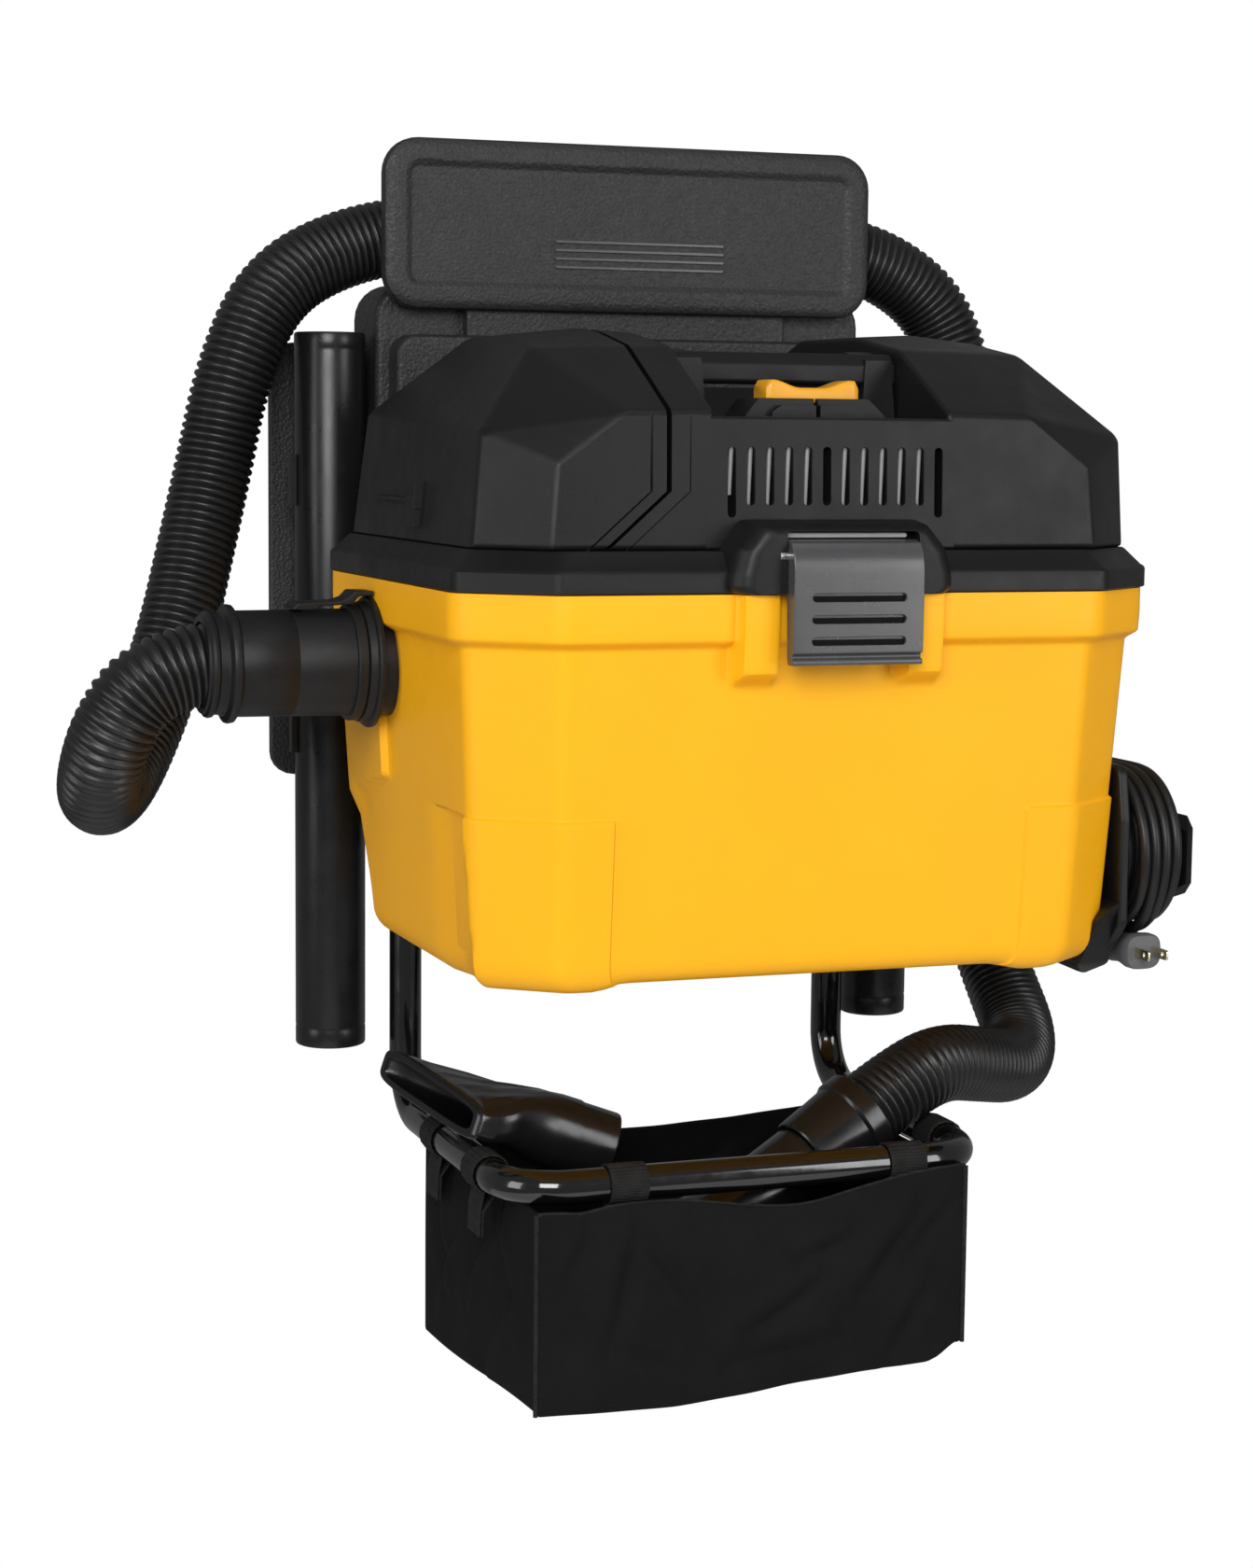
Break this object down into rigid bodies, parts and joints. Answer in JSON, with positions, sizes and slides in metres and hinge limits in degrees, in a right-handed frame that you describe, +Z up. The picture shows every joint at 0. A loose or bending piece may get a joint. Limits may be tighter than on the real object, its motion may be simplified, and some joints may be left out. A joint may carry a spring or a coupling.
{
  "type": "wall-mounted wet and dry vacuum cleaner",
  "caption": "Wall-mounted wet and dry vacuum: yellow tub, black motor head, hose over a hook panel, wands beside it and a tool bag on a tube frame below.",
  "frame": {"origin": "centre of the four wall bolts, on the wall's face, level with the seam between lid and tub", "axes": "+X to the viewer's right, +Y into the wall, +Z up"},
  "size_m": [0.7223, 0.498, 0.801],
  "materials": {
    "bag_fabric": "woven",
    "black_enamel": "gloss",
    "black_plastic": "satin",
    "black_rubber": "matte",
    "black_textured": "textured, mouldings",
    "brass": "bright",
    "filter_paper": "pleated",
    "grey_plastic": "satin",
    "hose_black": "satin",
    "motor_steel": "satin",
    "steel": "machined",
    "switch_yellow": "satin",
    "webbing": "woven",
    "winding_copper": "enamelled wire",
    "yellow_plastic": "satin"
  },
  "bodies": {
    "wall_mount": {"bag": "bag_fabric", "bumper_left": "black_rubber", "bumper_right": "black_rubber", "frame_socket_left": "black_plastic", "frame_socket_right": "black_plastic", "frame_tube": "black_enamel", "hang_cleat": "black_plastic", "hook_panel": "black_textured", "strap_front_left": "webbing", "strap_front_right": "webbing", "strap_left_back": "webbing", "strap_left_front": "webbing", "strap_right_back": "webbing", "strap_right_front": "webbing", "wall_bracket": "black_textured", "wand_clip_left_lower": "black_plastic", "wand_clip_left_upper": "black_plastic", "wand_clip_right_lower": "black_plastic", "wand_clip_right_upper": "black_plastic"},
    "vacuum": {"tub": "yellow_plastic", "tub_hook": "black_plastic", "inlet_port": "black_plastic", "inlet_elbow": "black_plastic", "hose_cuff": "black_plastic", "cuff_clip": "black_plastic", "hose_collar": "black_plastic", "hose": "hose_black", "hose_end_cuff": "black_plastic", "hose_tool": "black_plastic", "wrap_base": "black_plastic", "wrap_tab": "black_plastic", "cord_coil": "black_rubber", "cord_lead": "black_rubber", "plug_body": "black_rubber", "plug_blades": "brass"},
    "head": {"lid": "black_plastic", "lid_gasket": "black_rubber", "motor_cover": "black_plastic", "side_cover": "black_plastic", "switch_bezel": "black_plastic", "carry_handle": "black_plastic", "latch_pin": "steel", "fan_housing": "grey_plastic", "motor_can": "motor_steel", "stator": "winding_copper", "bearing_lower": "steel", "bearing_upper": "steel", "filter_cage": "grey_plastic", "filter": "filter_paper", "strain_relief": "black_rubber"},
    "front_latch": {"latch": "black_plastic"},
    "switch": {"switch_rocker": "switch_yellow"},
    "motor_rotor": {"rotor": "steel", "impeller": "grey_plastic"},
    "float": {"float_ball": "grey_plastic"},
    "filter_retainer": {"filter_nut": "grey_plastic"},
    "wand_on_left": {"wand_left": "black_plastic"},
    "wand_on_right": {"wand_right": "black_plastic"},
    "floor_nozzle": {"utility_nozzle": "black_plastic"}
  },
  "joints": [
    {"name": "vacuum_lift", "type": "slide", "parent": "wall_mount", "child": "vacuum", "axis": [0, 0, 1], "range_m": [0, 0.04]},
    {"name": "head_lift", "type": "slide", "parent": "vacuum", "child": "head", "axis": [0, 0, 1], "range_m": [0, 0.2]},
    {"name": "latch_swing", "type": "hinge", "parent": "head", "child": "front_latch", "pos_m": [0, -0.457, 0.022], "axis": [-1, 0, 0], "range_deg": [0, 75]},
    {"name": "switch_rock", "type": "hinge", "parent": "head", "child": "switch", "pos_m": [0, -0.388, 0.112], "axis": [0, 1, 0], "range_deg": [-6, 6]},
    {"name": "rotor_spin", "type": "hinge", "parent": "head", "child": "motor_rotor", "pos_m": [0, -0.268, 0.05], "axis": [0, 0, 1], "continuous": true},
    {"name": "float_rise", "type": "slide", "parent": "head", "child": "float", "axis": [0, 0, 1], "range_m": [0, 0.075]},
    {"name": "filter_nut_off", "type": "slide", "parent": "head", "child": "filter_retainer", "axis": [0, 0, -1], "range_m": [0, 0.035]},
    {"name": "wand_left_down", "type": "slide", "parent": "wall_mount", "child": "wand_on_left", "axis": [0, 0, -1], "range_m": [0, 0.12]},
    {"name": "wand_right_down", "type": "slide", "parent": "wall_mount", "child": "wand_on_right", "axis": [0, 0, -1], "range_m": [0, 0.12]},
    {"name": "nozzle_lift", "type": "slide", "parent": "wall_mount", "child": "floor_nozzle", "axis": [0, 0, 1], "range_m": [0, 0.07]}
  ]
}
